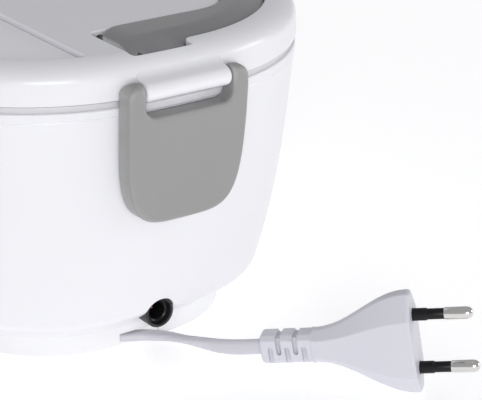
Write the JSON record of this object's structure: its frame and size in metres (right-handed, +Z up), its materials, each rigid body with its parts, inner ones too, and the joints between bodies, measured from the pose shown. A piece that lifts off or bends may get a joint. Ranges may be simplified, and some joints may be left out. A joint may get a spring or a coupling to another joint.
{
  "type": "electric lunch box",
  "caption": "Portable electric lunch box: heated base with cord and car socket, steel tray, lift-off lid with bail handle, spoon compartment and clip latches.",
  "frame": {"origin": "centre of the box on the surface that it stands on, under the foot ring", "axes": "+Z up, Y along the long side with the car socket and the cord notch facing -Y, X along the short side"},
  "size_m": [0.158, 0.3135, 0.1094],
  "materials": {
    "white_shell": "satin gloss moulded plastic",
    "white_base": "satin moulded plastic",
    "liner_plastic": "satin moulded plastic",
    "plate_aluminium": "cast and turned",
    "heater_foil": "film over foil",
    "mineral_pad": "mineral fibre",
    "zinc_steel": "zinc plated",
    "phenolic": "moulded phenolic",
    "fuse_case": "lacquered",
    "wire_sleeve": "soft vinyl",
    "black_rubber": "satin",
    "black_plastic": "gloss",
    "brass_contact": "bright",
    "white_vinyl": "soft vinyl",
    "cord_vinyl": "soft vinyl",
    "nickel": "bright nickel",
    "tray_steel": "brushed stainless steel",
    "lid_inner": "satin",
    "silicone": "matt silicone",
    "handle_grey": "satin gloss moulded plastic",
    "latch_grey": "satin moulded plastic",
    "cover_grey": "satin moulded plastic",
    "spoon_steel": "polished stainless steel"
  },
  "bodies": {
    "base": {"outer_body": "white_shell", "bottom_cover": "white_base", "chamber_liner": "liner_plastic", "heating_plate": "plate_aluminium", "mains_heater": "heater_foil", "car_heater": "heater_foil", "insulation_pad": "mineral_pad", "heater_clamp": "zinc_steel", "clamp_screws": "zinc_steel", "thermostat": "phenolic", "thermal_fuse": "fuse_case", "wiring": "wire_sleeve", "cover_screws": "zinc_steel", "socket_bushing": "black_rubber", "dc_socket": "black_plastic", "socket_pin": "brass_contact", "cord_gland": "white_vinyl", "cord_winding": "cord_vinyl", "power_cord": "cord_vinyl", "plug_body": "white_vinyl", "pin_sleeves": "black_plastic", "plug_pins": "nickel"},
    "lid_group": {"lid": "white_shell", "lid_liner": "lid_inner", "lid_gasket": "silicone", "handle_pins": "zinc_steel"},
    "tray_group": {"food_tray": "tray_steel"},
    "front_latch": {"latch_front": "latch_grey"},
    "rear_latch": {"latch_rear": "latch_grey"},
    "handle_group": {"carry_handle": "handle_grey"},
    "cover_group": {"spoon_cover": "cover_grey"},
    "spoon_group": {"spoon": "spoon_steel"},
    "vent_group": {"steam_plug": "silicone"}
  },
  "joints": [
    {"name": "lid_lift", "type": "slide", "parent": "base", "child": "lid_group", "axis": [0, 0, 1], "range_m": [0, 0.18]},
    {"name": "tray_lift", "type": "slide", "parent": "base", "child": "tray_group", "axis": [0, 0, 1], "range_m": [0, 0.09]},
    {"name": "front_latch_hinge", "type": "hinge", "parent": "lid_group", "child": "front_latch", "pos_m": [0, -0.1208, 0.0982], "axis": [-1, 0, 0], "range_deg": [0, 110]},
    {"name": "rear_latch_hinge", "type": "hinge", "parent": "lid_group", "child": "rear_latch", "pos_m": [0, 0.1208, 0.0982], "axis": [1, 0, 0], "range_deg": [0, 110]},
    {"name": "handle_swing", "type": "hinge", "parent": "lid_group", "child": "handle_group", "pos_m": [-0.0095, 0, 0.1051], "axis": [0, -1, 0], "range_deg": [0, 90]},
    {"name": "spoon_cover_lift", "type": "slide", "parent": "lid_group", "child": "cover_group", "axis": [0, 0, 1], "range_m": [0, 0.03]},
    {"name": "spoon_lift", "type": "slide", "parent": "lid_group", "child": "spoon_group", "axis": [0, 0, 1], "range_m": [0, 0.015]},
    {"name": "steam_plug_pull", "type": "slide", "parent": "lid_group", "child": "vent_group", "axis": [0, 0, 1], "range_m": [0, 0.008]}
  ],
  "couplings": [
    {"joint": "tray_lift", "follows": "lid_lift", "ratio": 0.5},
    {"joint": "spoon_lift", "follows": "spoon_cover_lift", "ratio": 0.5}
  ]
}
